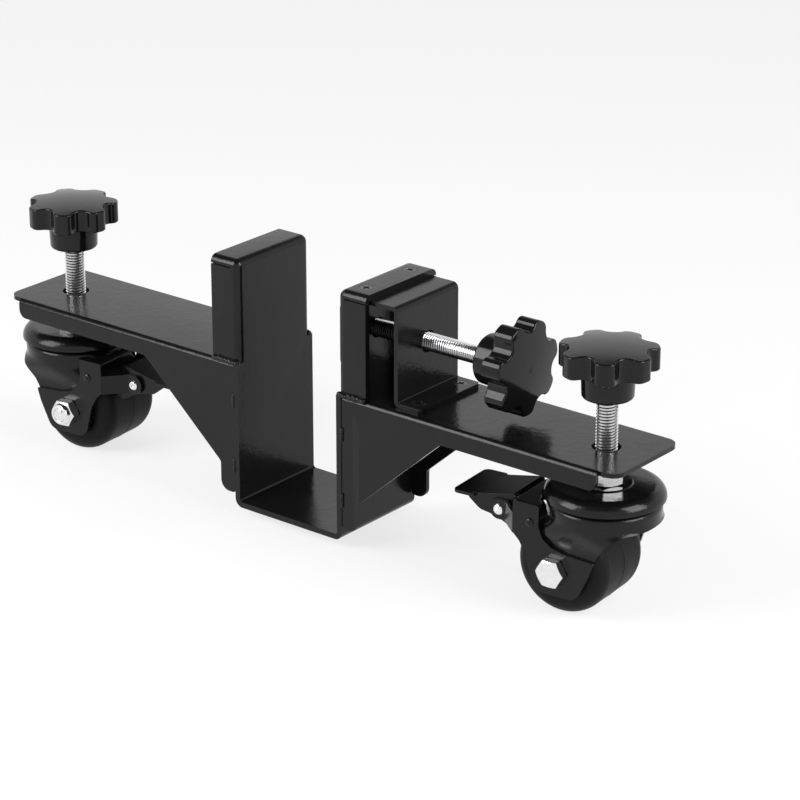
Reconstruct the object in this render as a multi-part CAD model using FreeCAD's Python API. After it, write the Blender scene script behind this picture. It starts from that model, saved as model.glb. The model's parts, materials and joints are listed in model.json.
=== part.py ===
import FreeCAD, Part
import math
import os

V = FreeCAD.Vector
os.makedirs("parts", exist_ok=True)

# Driving dimensions in millimetres. X runs along the arms, across the door,
# Y along the door, Z up. The floor is at z = 0 and the saddle is centred on x = 0.
ARM_REACH = 257.5        # end of each arm plate from the middle
ARM_WIDTH = 75.0
ARM_SHEET = 3.0
SKIRT_DEPTH = 13.2       # arm top to the lower edge of the skirts
SKIRT_SETBACK = 13.0     # side plates end short of the arm plate
TIP_INSET = 3.0          # each side of the arm plate's end, cut in beside the fold
TIP_ROUND = 8.5
BEND_OUT = 3.6           # outer bend radius of the arm sheet
BEND_IN = 1.0
STEM_INSET = 31.5        # lift screw axis from the arm's end

DOOR_GAP = 84.0          # clear width between the uprights
SADDLE_SHEET = 4.0
SADDLE_LEDGE = 0.5       # the lower U stands proud of the arms' side plates
SADDLE_BOTTOM = 6.0
SADDLE_CORNER = 6.0      # outer radius of the lower corners
TRAY_INSET = 1.5         # the flanged uprights are narrower than the arms
TRAY_DEPTH = 23.0        # inner face to the flange edges
TRAY_HEIGHT = 71.0       # uprights above the arms
TRAY_BEND = 5.0
SEAM = 1.0               # open seam under the top flange

GUSSET_REACH = 80.0      # from the saddle's outer face, at the skirt
GUSSET_RISE = 29.0       # foot of the slanted edge above the saddle's underside
STRIP_WIDTH = 12.9
STRIP_RISE = 9.0
SLOT_START = 9.4         # relief slot in the right arm's front plate
SLOT_WIDTH = 4.8
SLOT_DROP = 11.5         # arm top to the end of the slot

BRACKET_SHEET = 3.0
BRACKET_INSET = 5.0      # each side, narrower than the upright
BRACKET_REACH = 41.0     # saddle's outer face to the bracket's outer face
BRACKET_TOE = 18.5       # length of its foot
BRACKET_LAP = 2.5        # gap behind the free edge of its top flange
TOP_SCREW_INSET = 8.5
FOOT_SCREW_REACH = 9.5
SCREW_MARGIN = 9.0       # screws from the bracket's sides
SCREW_D = 5.0
SCREW_HEAD_D = 9.6

CLAMP_UP = 0.5           # clamp screw axis above the middle of the upright
CLAMP_D = 12.0
CLAMP_JOURNAL_D = 8.0
CLAMP_REACH = 91.5       # lift screw axis to the inner end of the clamp knob's hub
CLAMP_NUT_AF = 19.0
CLAMP_NUT_H = 10.0
CLAMP_HOLE_D = 14.6
PRESS_PLATE_T = 3.0
PRESS_PAD_T = 3.5
PRESS_MARGIN = 13.5      # pressure plate from the upright's top and the arm
PRESS_INSET = 6.0        # and from the bracket's sides
PRESS_REST = 0.5         # gap behind the pressure plate when it is drawn back
RETAINER_D = 13.0
RETAINER_T = 1.2
AXIAL_PLAY = 0.1

LIFT_D = 14.0
LIFT_HOLE_D = 18.5
LIFT_NUT_AF = 22.0
LIFT_NUT_H = 11.0
LIFT_RISE = 33.5         # arm to the lower end of the lift knob's hub at rest
STEM_NUT_H = 8.2
STEM_NUT_REST = 0.5      # gap between the stem nut and the lift nut at rest

KNOB_R = 31.3
KNOB_LOBES = 7
KNOB_HEAD_H = 14.5
KNOB_CROWN = 2.6         # height of the domed top over its rim
KNOB_HUB_R = 16.4
KNOB_HUB_H = 17.0
KNOB_SCALLOP_R = 7.0
KNOB_SCALLOP_DEPTH = 7.0
KNOB_LOBE_ROUND = 5.0
KNOB_EDGE = 1.2
KNOB_GRIP = 24.0         # length of screw inside the knob
SET_SCREW_D = 5.0
SET_SCREW_LENGTH = 7.0
SET_SCREW_SUNK = 0.4

WHEEL_R = 31.75
WHEEL_HALF = 27.5
WHEEL_SHOULDER = 10.0
WHEEL_CLEAR = 0.8        # least gap between the wheel and the pressed fork
TRAIL = 16.5
LEG_GAP = 1.1            # wheel's side to the fork leg
LEG_T = 2.2
PLATE_T = 2.0            # brake plates outside the legs
AXLE_D = 10.0
AXLE_AF = 17.0
AXLE_HEAD_H = 6.4
AXLE_NUT_H = 10.5
SLEEVE_D = 13.0
BUSH_D = 19.0
BUSH_LENGTH = 16.0
CROWN_GAP = 8.2          # wheel's top to the fork's crown
CROWN_T = 2.5
FLANGE_OVER = 5.2        # round flange beyond the legs
FLANGE_DROP = 5.3
FLANGE_ROUND = 4.0       # shoulder between the flange and the crown
FLANGE_FLUSH = 0.06      # pressed sides inside the flange
BALL_D = 5.9
BALL_COUNT = 18
BALL_INSET = 9.0         # ball circle inside the flange
CAP_OVER = 2.3           # swivel cap beyond the flange
CAP_GAP = 1.4
CAP_H = 8.4
CAP_LIP = 0.4            # upright edge under the cap's round
CAP_BOSS_R = 17.5
CAP_BOSS_H = 0.8
KING_D = 12.0
KING_HEAD_R = 9.0

PIN_D = 5.0
RIVET_R = 2.0
EAR_OUT = 20.0           # outer faces of the ears that hold the brake pin
PEDAL_HALF = 17.5
PEDAL_LIP_HALF = 20.0
SHOE_GAP = 1.2           # brake shoe to tread with the pedal up

RUN_FIT = 0.05           # radial clearance of turning fits
THREAD_FIT = 0.08        # radial clearance of screws in their nuts
FAR = 200.0              # length of cutting tools that pass right through
LEFT_TURN = 5.0          # swivel angles at which the casters stand
RIGHT_TURN = 185.0
LIFT_KNOB_TURN = -60.0   # angle of one lobe gap of the lift knobs

# Caster outlines are drawn for a 63.5 mm wheel and scale with the wheel that is fitted.
CASTER = WHEEL_R / 31.75
PIVOT_X = 64.7 * CASTER  # brake pin from the stem axis, along the trail
PIVOT_Z = 57.0 * CASTER
EAR_R = 6.7 * CASTER
RIVET_X = 34.3 * CASTER
RIVET_Z = 60.2 * CASTER
LEG_IN = WHEEL_HALF + LEG_GAP
LEG_OUT = LEG_IN + LEG_T
PLATE_OUT = LEG_OUT + PLATE_T
FLANGE_R = LEG_OUT + FLANGE_OVER
BALL_RING_R = FLANGE_R - BALL_INSET
CAP_R = FLANGE_R + CAP_OVER
CROWN_LOW = 2 * WHEEL_R + CROWN_GAP
CROWN_TOP = CROWN_LOW + CROWN_T
FLANGE_LOW = CROWN_LOW - FLANGE_DROP
CAP_LOW = CROWN_TOP + CAP_GAP
CAP_TOP = CAP_LOW + CAP_H
CAP_SEAT = CAP_TOP + CAP_BOSS_H
RACE = CROWN_TOP + 2 * RUN_FIT + BALL_D

# The arms stand on the casters, and the saddle hangs between the arms.
ARM_UNDER = CAP_SEAT + STEM_NUT_H + STEM_NUT_REST + LIFT_NUT_H
ARM_TOP = ARM_UNDER + ARM_SHEET
SKIRT_LOW = ARM_TOP - SKIRT_DEPTH
STEM_X = ARM_REACH - STEM_INSET
LIFT_HUB_Z = ARM_TOP + LIFT_RISE
SADDLE_TOP = ARM_TOP + TRAY_HEIGHT
SADDLE_WIDTH = ARM_WIDTH + 2 * SADDLE_LEDGE
TRAY_WIDTH = ARM_WIDTH - 2 * TRAY_INSET
GUSSET_FOOT = SADDLE_BOTTOM + GUSSET_RISE
STRIP_BOTTOM = SADDLE_BOTTOM + STRIP_RISE
SLOT_TOP = ARM_TOP - SLOT_DROP
INNER = DOOR_GAP / 2.0
OUTER = INNER + SADDLE_SHEET
TRAY_EDGE = INNER + TRAY_DEPTH
BRACKET_WIDTH = TRAY_WIDTH - 2 * BRACKET_INSET
BRACKET_FACE = OUTER + BRACKET_REACH
BRACKET_FOOT = BRACKET_FACE + BRACKET_TOE
BRACKET_INNER = OUTER + BRACKET_LAP
TOP_SCREW_X = OUTER + TOP_SCREW_INSET
FOOT_SCREW_X = BRACKET_FACE + FOOT_SCREW_REACH
BRACKET_SCREW_Y = BRACKET_WIDTH / 2.0 - SCREW_MARGIN
CLAMP_Z = ARM_TOP + TRAY_HEIGHT / 2.0 + CLAMP_UP
CLAMP_HUB_X = STEM_X - CLAMP_REACH
PRESS_HEIGHT = TRAY_HEIGHT - 2 * PRESS_MARGIN
PRESS_WIDTH = BRACKET_WIDTH - 2 * PRESS_INSET
X_DIR = V(1, 0, 0)
Y_DIR = V(0, 1, 0)
Z_DIR = V(0, 0, 1)


def box(x0, x1, y0, y1, z0, z1):
    return Part.makeBox(x1 - x0, y1 - y0, z1 - z0, V(x0, y0, z0))


def rod(radius, start, direction, length):
    return Part.makeCylinder(radius, length, start, direction)


def outline(points, radii):
    """Closed flat wire through the points, with tangent arcs at the rounded corners."""
    count = len(points)
    corners = []
    for i in range(count):
        here = points[i]
        if radii[i] <= 0:
            corners.append((here, None, here))
            continue
        back = (points[i - 1] - here).normalize()
        ahead = (points[(i + 1) % count] - here).normalize()
        half = back.getAngle(ahead) / 2.0
        middle = (back + ahead).normalize()
        reach = radii[i] / math.tan(half)
        centre = here + middle * (radii[i] / math.sin(half))
        corners.append((here + back * reach, centre - middle * radii[i], here + ahead * reach))
    edges = []
    for i in range(count):
        start, mid, end = corners[i]
        if mid is not None:
            edges.append(Part.Arc(start, mid, end).toShape())
        follow = corners[(i + 1) % count][0]
        if end.distanceToPoint(follow) > 1e-6:
            edges.append(Part.makeLine(end, follow))
    return Part.Wire(edges)


def prism(plane, pairs, low, high, rounding=None):
    """Extrude an outline given in XZ, YZ or XY; rounding maps a corner's index to its radius."""
    rounding = rounding or {}
    radii = [rounding.get(i, 0.0) for i in range(len(pairs))]
    if plane == "XZ":
        points = [V(a, low, b) for a, b in pairs]
        path = V(0, high - low, 0)
    elif plane == "YZ":
        points = [V(low, a, b) for a, b in pairs]
        path = V(high - low, 0, 0)
    else:
        points = [V(a, b, low) for a, b in pairs]
        path = V(0, 0, high - low)
    return Part.Face(outline(points, radii)).extrude(path)


def turned(pairs, rounding=None):
    """Revolve a profile of (radius, height) pairs about Z."""
    rounding = rounding or {}
    radii = [rounding.get(i, 0.0) for i in range(len(pairs))]
    face = Part.Face(outline([V(a, 0, b) for a, b in pairs], radii))
    return face.revolve(V(0, 0, 0), Z_DIR, 360)


def hexagon(across_flats, height):
    """Hexagonal prism on Z with both rims turned down to the flats."""
    corner = across_flats / math.sqrt(3.0)
    points = [(corner * math.cos(math.radians(60 * i)), corner * math.sin(math.radians(60 * i)))
              for i in range(6)]
    body = prism("XY", points, 0, height)
    inset = across_flats * 0.475
    drop = (corner - inset) * math.tan(math.radians(30))
    cone = turned([(0, 0), (inset, 0), (corner + 0.01, drop), (corner + 0.01, height - drop),
                   (inset, height), (0, height)])
    return body.common(cone)


def along_x(shape):
    """Stand a shape built on Z along +X."""
    out = shape.copy()
    out.rotate(V(0, 0, 0), Y_DIR, 90)
    return out


def along_y(shape):
    """Lay a shape built on Z along +Y."""
    out = shape.copy()
    out.rotate(V(0, 0, 0), X_DIR, -90)
    return out


def moved(shape, x, y, z):
    out = shape.copy()
    out.translate(V(x, y, z))
    return out


def mirrored_y(shape):
    return shape.mirror(V(0, 0, 0), Y_DIR)


def mirrored_x(shape):
    return shape.mirror(V(0, 0, 0), X_DIR)


def countersunk_screw(length):
    """Flat-head screw hanging below z = 0."""
    head = (SCREW_HEAD_D - SCREW_D) / 2.0
    return turned([(0, 0), (SCREW_HEAD_D / 2, 0), (SCREW_HEAD_D / 2, -0.3), (SCREW_D / 2, -0.3 - head),
                   (SCREW_D / 2, -length), (0, -length)])


def countersunk_hole(length):
    return countersunk_screw(length)


def tray():
    """Right upright's flanged upper part, open towards the arm."""
    half = TRAY_WIDTH / 2.0
    outer = box(INNER, TRAY_EDGE, -half, half, ARM_TOP, SADDLE_TOP)
    edges = []
    for edge in outer.Edges:
        mid = edge.BoundBox.Center
        on_face = abs(mid.x - INNER) < 1e-6 and abs(mid.z - ARM_TOP) > 1.0
        on_shoulder = abs(abs(mid.y) - half) < 1e-6 and abs(mid.z - SADDLE_TOP) < 1e-6
        if on_face or on_shoulder:
            edges.append(edge)
    outer = outer.makeFillet(TRAY_BEND, edges)
    inside = half - SADDLE_SHEET
    cavity = box(OUTER, TRAY_EDGE + 5, -inside, inside, ARM_TOP - 5, SADDLE_TOP - SADDLE_SHEET)
    edges = []
    for edge in cavity.Edges:
        mid = edge.BoundBox.Center
        if abs(mid.x - OUTER) < 1e-6 and mid.z > ARM_TOP:
            edges.append(edge)
    cavity = cavity.makeFillet(BEND_IN, edges)
    body = outer.cut(cavity)
    # the folded corners of the flanges stay open as narrow seams
    for side in (-1, 1):
        seam = box(INNER + TRAY_BEND + SEAM, TRAY_EDGE + SEAM, -SADDLE_SHEET / 2, SADDLE_SHEET / 2,
                   SADDLE_TOP - TRAY_BEND - SEAM, SADDLE_TOP - TRAY_BEND)
        body = body.cut(moved(seam, 0, side * half, 0))
    return body


def saddle():
    half = SADDLE_WIDTH / 2.0
    floor = SADDLE_BOTTOM + SADDLE_SHEET
    lower = prism("XZ", [(-OUTER, ARM_TOP), (-OUTER, SADDLE_BOTTOM), (OUTER, SADDLE_BOTTOM), (OUTER, ARM_TOP),
                         (INNER, ARM_TOP), (INNER, floor), (-INNER, floor), (-INNER, ARM_TOP)],
                  -half, half,
                  {1: SADDLE_CORNER, 2: SADDLE_CORNER,
                   5: SADDLE_CORNER - SADDLE_SHEET, 6: SADDLE_CORNER - SADDLE_SHEET})
    right = tray()
    body = lower.fuse([right, mirrored_x(right)]).removeSplitter()
    body = body.cut(rod(CLAMP_D / 2 + 1.0, V(INNER - 1, 0, CLAMP_Z), X_DIR, SADDLE_SHEET + 2))
    for y in (-BRACKET_SCREW_Y, BRACKET_SCREW_Y):
        body = body.cut(moved(countersunk_hole(12), TOP_SCREW_X, y, SADDLE_TOP))
    return body


def arm_side(front_slot):
    """Skirt, gusset and side strip as one plate, at the +Y side of a right arm."""
    end = ARM_REACH - SKIRT_SETBACK
    strip = OUTER + STRIP_WIDTH
    toe = OUTER + GUSSET_REACH
    pairs = [(OUTER, ARM_UNDER), (OUTER, STRIP_BOTTOM), (strip, STRIP_BOTTOM), (strip, GUSSET_FOOT),
             (toe, SKIRT_LOW), (end, SKIRT_LOW), (end, ARM_UNDER)]
    half = ARM_WIDTH / 2.0
    plate = prism("XZ", pairs, half - ARM_SHEET, half, {1: 3.0, 2: 7.0, 3: 4.0, 4: 6.0, 5: 6.0})
    if front_slot:
        start = OUTER + SLOT_START
        plate = plate.cut(box(start, start + SLOT_WIDTH, half - FAR, half + FAR, 0, SLOT_TOP))
    return plate


def arm(slotted):
    """Arm on the +X side: folded top plate with its two side plates."""
    half = ARM_WIDTH / 2.0
    end = ARM_REACH - SKIRT_SETBACK
    fold_low = ARM_TOP - BEND_OUT - 1.0
    channel = prism("YZ", [(-half, fold_low), (-half, ARM_TOP), (half, ARM_TOP), (half, fold_low),
                           (half - ARM_SHEET, fold_low), (half - ARM_SHEET, ARM_UNDER),
                           (-half + ARM_SHEET, ARM_UNDER), (-half + ARM_SHEET, fold_low)],
                    OUTER, end, {1: BEND_OUT, 2: BEND_OUT, 5: BEND_IN, 6: BEND_IN})
    side = half - TIP_INSET
    tip = prism("XY", [(end, -side), (ARM_REACH, -side), (ARM_REACH, side), (end, side)],
                ARM_UNDER, ARM_TOP, {1: TIP_ROUND, 2: TIP_ROUND})
    back = arm_side(False)
    front = mirrored_y(arm_side(slotted))
    fold = box(OUTER, end, -half - 1, half + 1, fold_low, ARM_TOP + 1)
    body = channel.fuse([tip, back.cut(fold), front.cut(fold)]).removeSplitter()
    return body.cut(rod(LIFT_HOLE_D / 2, V(STEM_X, 0, ARM_UNDER - 1), Z_DIR, ARM_SHEET + 2))


def right_arm():
    body = arm(True)
    for y in (-BRACKET_SCREW_Y, BRACKET_SCREW_Y):
        body = body.cut(rod(SCREW_D / 2, V(FOOT_SCREW_X, y, ARM_UNDER - 1), Z_DIR, ARM_SHEET + 2))
    return body


def lift_nut():
    nut = moved(hexagon(LIFT_NUT_AF, LIFT_NUT_H), STEM_X, 0, ARM_UNDER - LIFT_NUT_H)
    return nut.cut(rod(LIFT_D / 2 + THREAD_FIT, V(STEM_X, 0, 0), Z_DIR, ARM_TOP))


def clamp_bracket():
    half = BRACKET_WIDTH / 2.0
    top = SADDLE_TOP - SADDLE_SHEET
    t = BRACKET_SHEET
    face = BRACKET_FACE
    bend = 4.0
    body = prism("XZ", [(BRACKET_INNER, top), (face, top), (face, ARM_TOP + t), (BRACKET_FOOT, ARM_TOP + t),
                        (BRACKET_FOOT, ARM_TOP), (face - t, ARM_TOP), (face - t, top - t),
                        (BRACKET_INNER, top - t)],
                 -half, half, {1: bend, 2: bend - t, 5: bend, 6: bend - t})
    edges = []
    for edge in body.Edges:
        mid = edge.BoundBox.Center
        if abs(mid.x - BRACKET_FOOT) < 1e-6 and abs(abs(mid.y) - half) < 1e-6:
            edges.append(edge)
    body = body.makeFillet(3.0, edges)
    body = body.cut(rod(CLAMP_HOLE_D / 2, V(face - t - 1, 0, CLAMP_Z), X_DIR, t + 2))
    for y in (-BRACKET_SCREW_Y, BRACKET_SCREW_Y):
        body = body.cut(rod(SCREW_D / 2, V(TOP_SCREW_X, y, top - t - 1), Z_DIR, t + 2))
        body = body.cut(moved(countersunk_hole(9), FOOT_SCREW_X, y, ARM_TOP + t))
    return body


def screw_pair(x, z, length):
    screws = [moved(countersunk_screw(length), x, y, z) for y in (-BRACKET_SCREW_Y, BRACKET_SCREW_Y)]
    return Part.makeCompound(screws)


def clamp_nut():
    nut = along_x(hexagon(CLAMP_NUT_AF, CLAMP_NUT_H))
    nut = moved(nut, BRACKET_FACE - BRACKET_SHEET - CLAMP_NUT_H, 0, CLAMP_Z)
    return nut.cut(rod(CLAMP_D / 2 + THREAD_FIT, V(0, 0, CLAMP_Z), X_DIR, FAR))


def star_outline(radius, z):
    """Seven lobes on a circle, with round scallops between them."""
    round_r = KNOB_LOBE_ROUND
    scallop = KNOB_SCALLOP_R
    reach = radius - KNOB_SCALLOP_DEPTH + scallop
    lobe = radius - round_r
    spread = math.acos((reach ** 2 + lobe ** 2 - (scallop + round_r) ** 2) / (2 * reach * lobe))
    step = 2 * math.pi / KNOB_LOBES

    def polar(r, angle):
        return V(r * math.cos(angle), r * math.sin(angle), z)

    edges = []
    for i in range(KNOB_LOBES):
        angle = step * (i + 0.5)
        centre = polar(reach, angle)
        before = polar(lobe, angle - spread)
        after = polar(lobe, angle + spread)
        on_rim_a = polar(radius, angle - spread)
        on_rim_b = polar(radius, angle + spread)
        in_a = centre + (before - centre) * (scallop / (scallop + round_r))
        in_b = centre + (after - centre) * (scallop / (scallop + round_r))
        mid_a = before + ((on_rim_a - before) + (in_a - before)).normalize() * round_r
        mid_b = after + ((on_rim_b - after) + (in_b - after)).normalize() * round_r
        edges.append(Part.Arc(on_rim_a, mid_a, in_a).toShape())
        edges.append(Part.Arc(in_a, polar(reach - scallop, angle), in_b).toShape())
        edges.append(Part.Arc(in_b, mid_b, on_rim_b).toShape())
        next_rim = polar(radius, angle + step - spread)
        edges.append(Part.Arc(on_rim_b, polar(radius, angle + step / 2), next_rim).toShape())
    return Part.Wire(edges)


def knob(bore):
    """Star knob on Z, hub end at z = 0, with a radial hole along +X for its set screw."""
    rim = KNOB_HUB_H + KNOB_HEAD_H
    tall = Part.Face(star_outline(KNOB_R, KNOB_HUB_H)).extrude(V(0, 0, KNOB_HEAD_H + KNOB_CROWN + 1))
    ball = (KNOB_R ** 2 + KNOB_CROWN ** 2) / (2 * KNOB_CROWN)
    head = tall.common(Part.makeSphere(ball, V(0, 0, rim + KNOB_CROWN - ball)))
    edges = []
    for edge in head.Edges:
        low = edge.BoundBox.ZMax < KNOB_HUB_H + 1e-4
        high = edge.BoundBox.ZMin > rim - 0.5
        if low or high:
            edges.append(edge)
    head = head.makeFillet(KNOB_EDGE, edges)
    hub = turned([(0, 0), (KNOB_HUB_R - 0.6, 0), (KNOB_HUB_R, 1.0), (KNOB_HUB_R + 0.6, KNOB_HUB_H + 1.0),
                  (0, KNOB_HUB_H + 1.0)])
    body = head.fuse(hub).removeSplitter()
    body = body.cut(rod(bore / 2, V(0, 0, -1), Z_DIR, KNOB_GRIP + 1))
    return body.cut(rod(SET_SCREW_D / 2, V(0, 0, KNOB_HUB_H * 0.46), X_DIR, KNOB_HUB_R + 2))


def knob_set_screw():
    """Socket set screw in the hub, along +X."""
    outer = KNOB_HUB_R - SET_SCREW_SUNK
    body = rod(SET_SCREW_D / 2, V(outer - SET_SCREW_LENGTH, 0, 0), X_DIR, SET_SCREW_LENGTH)
    socket = along_x(hexagon(2.6, 2.4))
    body = body.cut(moved(socket, outer - 2.2, 0, 0))
    return moved(body, 0, 0, KNOB_HUB_H * 0.46)


def spun(shape, angle):
    out = shape.copy()
    out.rotate(V(0, 0, 0), Z_DIR, angle)
    return out


def clamp_screw():
    plate_back = INNER - PRESS_REST
    plate_front = plate_back - PRESS_PLATE_T
    journal_end = plate_front - AXIAL_PLAY - RETAINER_T - 0.3
    shoulder = plate_back + AXIAL_PLAY
    end = CLAMP_HUB_X + KNOB_GRIP
    small = rod(CLAMP_JOURNAL_D / 2, V(journal_end, 0, CLAMP_Z), X_DIR, shoulder - journal_end + 1)
    return small.fuse(rod(CLAMP_D / 2, V(shoulder, 0, CLAMP_Z), X_DIR, end - shoulder)).removeSplitter()


def screw_retainer():
    start = INNER - PRESS_REST - PRESS_PLATE_T - AXIAL_PLAY - RETAINER_T
    ring = rod(RETAINER_D / 2, V(start, 0, CLAMP_Z), X_DIR, RETAINER_T)
    return ring.cut(rod(CLAMP_JOURNAL_D / 2, V(start - 1, 0, CLAMP_Z), X_DIR, RETAINER_T + 2))


def press_block(x0, x1, corner):
    hy = PRESS_WIDTH / 2.0
    z0 = CLAMP_Z - PRESS_HEIGHT / 2.0
    z1 = CLAMP_Z + PRESS_HEIGHT / 2.0
    return prism("YZ", [(-hy, z0), (hy, z0), (hy, z1), (-hy, z1)], x0, x1, {i: corner for i in range(4)})


def pressure_plate():
    back = INNER - PRESS_REST
    body = press_block(back - PRESS_PLATE_T, back, 5.0)
    hole = CLAMP_JOURNAL_D / 2 + RUN_FIT
    return body.cut(rod(hole, V(back - PRESS_PLATE_T - 1, 0, CLAMP_Z), X_DIR, PRESS_PLATE_T + 2))


def pressure_pad():
    front = INNER - PRESS_REST - PRESS_PLATE_T
    body = press_block(front - PRESS_PAD_T, front, 5.0)
    return body.cut(rod(RETAINER_D / 2 + 1.0, V(front - 1.9, 0, CLAMP_Z), X_DIR, 3))


def clamp_knob_place(shape):
    return moved(along_x(shape), CLAMP_HUB_X, 0, CLAMP_Z)


# Caster pieces, in a frame on the stem axis with the trail along +X.


def lift_screw():
    end = LIFT_HUB_Z + KNOB_GRIP
    head_top = CROWN_LOW - 0.4
    head_low = head_top - 1.4
    return turned([(0, head_low), (KING_HEAD_R, head_low), (KING_HEAD_R, head_top), (KING_D / 2, head_top),
                   (KING_D / 2, RACE), (LIFT_D / 2, RACE), (LIFT_D / 2, end - 1), (LIFT_D / 2 - 1, end), (0, end)])


def stem_nut():
    nut = moved(hexagon(LIFT_NUT_AF, STEM_NUT_H), 0, 0, CAP_SEAT)
    return nut.cut(rod(LIFT_D / 2, V(0, 0, CAP_SEAT - 1), Z_DIR, STEM_NUT_H + 2))


def swivel_cap():
    bore = LIFT_D / 2
    return turned([(bore, RACE), (FLANGE_R - 2, RACE), (FLANGE_R - 2, CAP_LOW), (CAP_R, CAP_LOW),
                   (CAP_R, CAP_TOP), (CAP_BOSS_R, CAP_TOP), (CAP_BOSS_R - 0.8, CAP_SEAT), (bore, CAP_SEAT)],
                  {1: 1.5, 4: CAP_H - CAP_LIP})


def ball_cage():
    low = CROWN_TOP + RUN_FIT
    mid = low + BALL_D / 2
    ring = turned([(BALL_RING_R - 4.6, mid - 1.2), (BALL_RING_R + 4.6, mid - 1.2),
                   (BALL_RING_R + 4.6, mid + 1.2), (BALL_RING_R - 4.6, mid + 1.2)])
    balls = []
    for i in range(BALL_COUNT):
        angle = 2 * math.pi * i / BALL_COUNT
        balls.append(Part.makeSphere(BALL_D / 2, V(BALL_RING_R * math.cos(angle),
                                                   BALL_RING_R * math.sin(angle), mid)))
    return ring.fuse(balls)


def scaled(pairs):
    """Points of a caster outline, sized to the wheel."""
    return [(a * CASTER, b * CASTER) for a, b in pairs]


def dome_section(z, half_x, half_y, power):
    """Closed smooth curve between a circle and a rounded box."""
    points = []
    for i in range(48):
        t = 2 * math.pi * (i + 0.5) / 48
        c, s = math.cos(t), math.sin(t)
        size = (abs(c) ** power + abs(s) ** power) ** (-1.0 / power)
        points.append(V(half_x * c * size, half_y * s * size, z))
    curve = Part.BSplineCurve()
    curve.interpolate(Points=points, PeriodicFlag=True)
    return Part.Wire([curve.toShape()])


def dome(inset, top):
    """Pressed sides of the fork, from the round flange down to the flat legs."""
    round_r = FLANGE_R - FLANGE_FLUSH
    low, flat, start = 42.0 * CASTER, 47.0 * CASTER, top - 2.0
    wires = []
    for i in range(11):
        z = top + (low - top) * i / 10
        share = min(max((start - z) / (start - flat), 0.0), 1.0)
        share = share * share * (3.0 - 2.0 * share)
        half_y = round_r + (LEG_OUT - round_r) * share
        wires.append(dome_section(z, round_r - inset, half_y - inset, 2.0 + 4.0 * share))
    return Part.makeLoft(wires, True, False)


def fork():
    crown = turned([(KING_D / 2 + RUN_FIT, CROWN_LOW), (FLANGE_R - LEG_T, CROWN_LOW),
                    (FLANGE_R - LEG_T, FLANGE_LOW), (FLANGE_R, FLANGE_LOW), (FLANGE_R, CROWN_TOP),
                    (KING_D / 2 + RUN_FIT, CROWN_TOP)], {1: FLANGE_ROUND - LEG_T, 4: FLANGE_ROUND})
    top = FLANGE_LOW + 0.6
    shell = dome(0.0, top).cut(dome(LEG_T, top))
    side = [(-40, 75), (-40, 62.4), (-27.0, 62.4), (-19.5, 56.5), (-14.0, 49.0), (-10.0, 42.0),
            (-9.5, 30.0), (26.5, 30.0), (26.5, 75)]
    keep = prism("XZ", scaled(side), -FAR, FAR, {2: 9.0, 3: 12.0, 4: 12.0})
    shell = shell.common(keep)
    legs = []
    for sign in (-1, 1):
        pairs = [(26.5, 46.0), (-11.0, 46.0), (-9.4, 42.0), (-8.6, 36.0), (0.5, 15.2), (31.0, 15.2),
                 (33.5, 27.0), (29.5, 42.0)]
        low, high = (LEG_IN, LEG_OUT) if sign > 0 else (-LEG_OUT, -LEG_IN)
        legs.append(prism("XZ", scaled(pairs), low, high, {3: 8.0, 4: 9.0, 5: 9.0, 6: 12.0}))
    body = crown.fuse([shell] + legs).removeSplitter()
    reach, half = WHEEL_R + WHEEL_CLEAR, WHEEL_HALF + WHEEL_CLEAR
    body = body.cut(on_axle(turned([(0, -half), (reach, -half), (reach, half), (0, half)],
                                   {1: WHEEL_SHOULDER, 2: WHEEL_SHOULDER})))
    return body.cut(rod(AXLE_D / 2, V(TRAIL, -FAR, WHEEL_R), Y_DIR, 2 * FAR))


def on_axle(shape):
    """Move a shape built on Z to the wheel axle, along +Y."""
    return moved(along_y(shape), TRAIL, 0, WHEEL_R)


def wheel():
    bore = BUSH_D / 2
    groove = 0.5
    hub = WHEEL_R * 0.46
    rim = WHEEL_R * 0.61
    pairs = [(bore, -WHEEL_HALF), (hub, -WHEEL_HALF), (hub + 1, -WHEEL_HALF + 1.5), (rim - 1, -WHEEL_HALF + 1.5),
             (rim, -WHEEL_HALF), (WHEEL_R, -WHEEL_HALF), (WHEEL_R, -groove), (WHEEL_R - groove, 0),
             (WHEEL_R, groove), (WHEEL_R, WHEEL_HALF), (rim, WHEEL_HALF), (rim - 1, WHEEL_HALF - 1.5),
             (hub + 1, WHEEL_HALF - 1.5), (hub, WHEEL_HALF), (bore, WHEEL_HALF)]
    return on_axle(turned(pairs, {5: WHEEL_SHOULDER, 9: WHEEL_SHOULDER}))


def wheel_bushes():
    bore = SLEEVE_D / 2 + RUN_FIT
    inner = WHEEL_HALF + 0.5 - BUSH_LENGTH
    one = turned([(bore, inner), (BUSH_D / 2, inner), (BUSH_D / 2, WHEEL_HALF), (BUSH_D / 2 + 2, WHEEL_HALF),
                  (BUSH_D / 2 + 2, WHEEL_HALF + 0.5), (bore, WHEEL_HALF + 0.5)])
    other = one.mirror(V(0, 0, 0), Z_DIR)
    return on_axle(Part.makeCompound([one, other]))


def axle_sleeve():
    tube = rod(SLEEVE_D / 2, V(0, 0, -LEG_IN), Z_DIR, 2 * LEG_IN)
    return on_axle(tube.cut(rod(AXLE_D / 2, V(0, 0, -LEG_IN - 1), Z_DIR, 2 * LEG_IN + 2)))


def axle_bolt():
    head = moved(hexagon(AXLE_AF, AXLE_HEAD_H), 0, 0, PLATE_OUT)
    end = -(PLATE_OUT + AXLE_NUT_H + 0.5)
    shank = turned([(0, end), (AXLE_D / 2 - 1.0, end), (AXLE_D / 2, end + 1.0), (AXLE_D / 2, PLATE_OUT + 1),
                    (0, PLATE_OUT + 1)])
    return on_axle(head.fuse(shank).removeSplitter())


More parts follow.
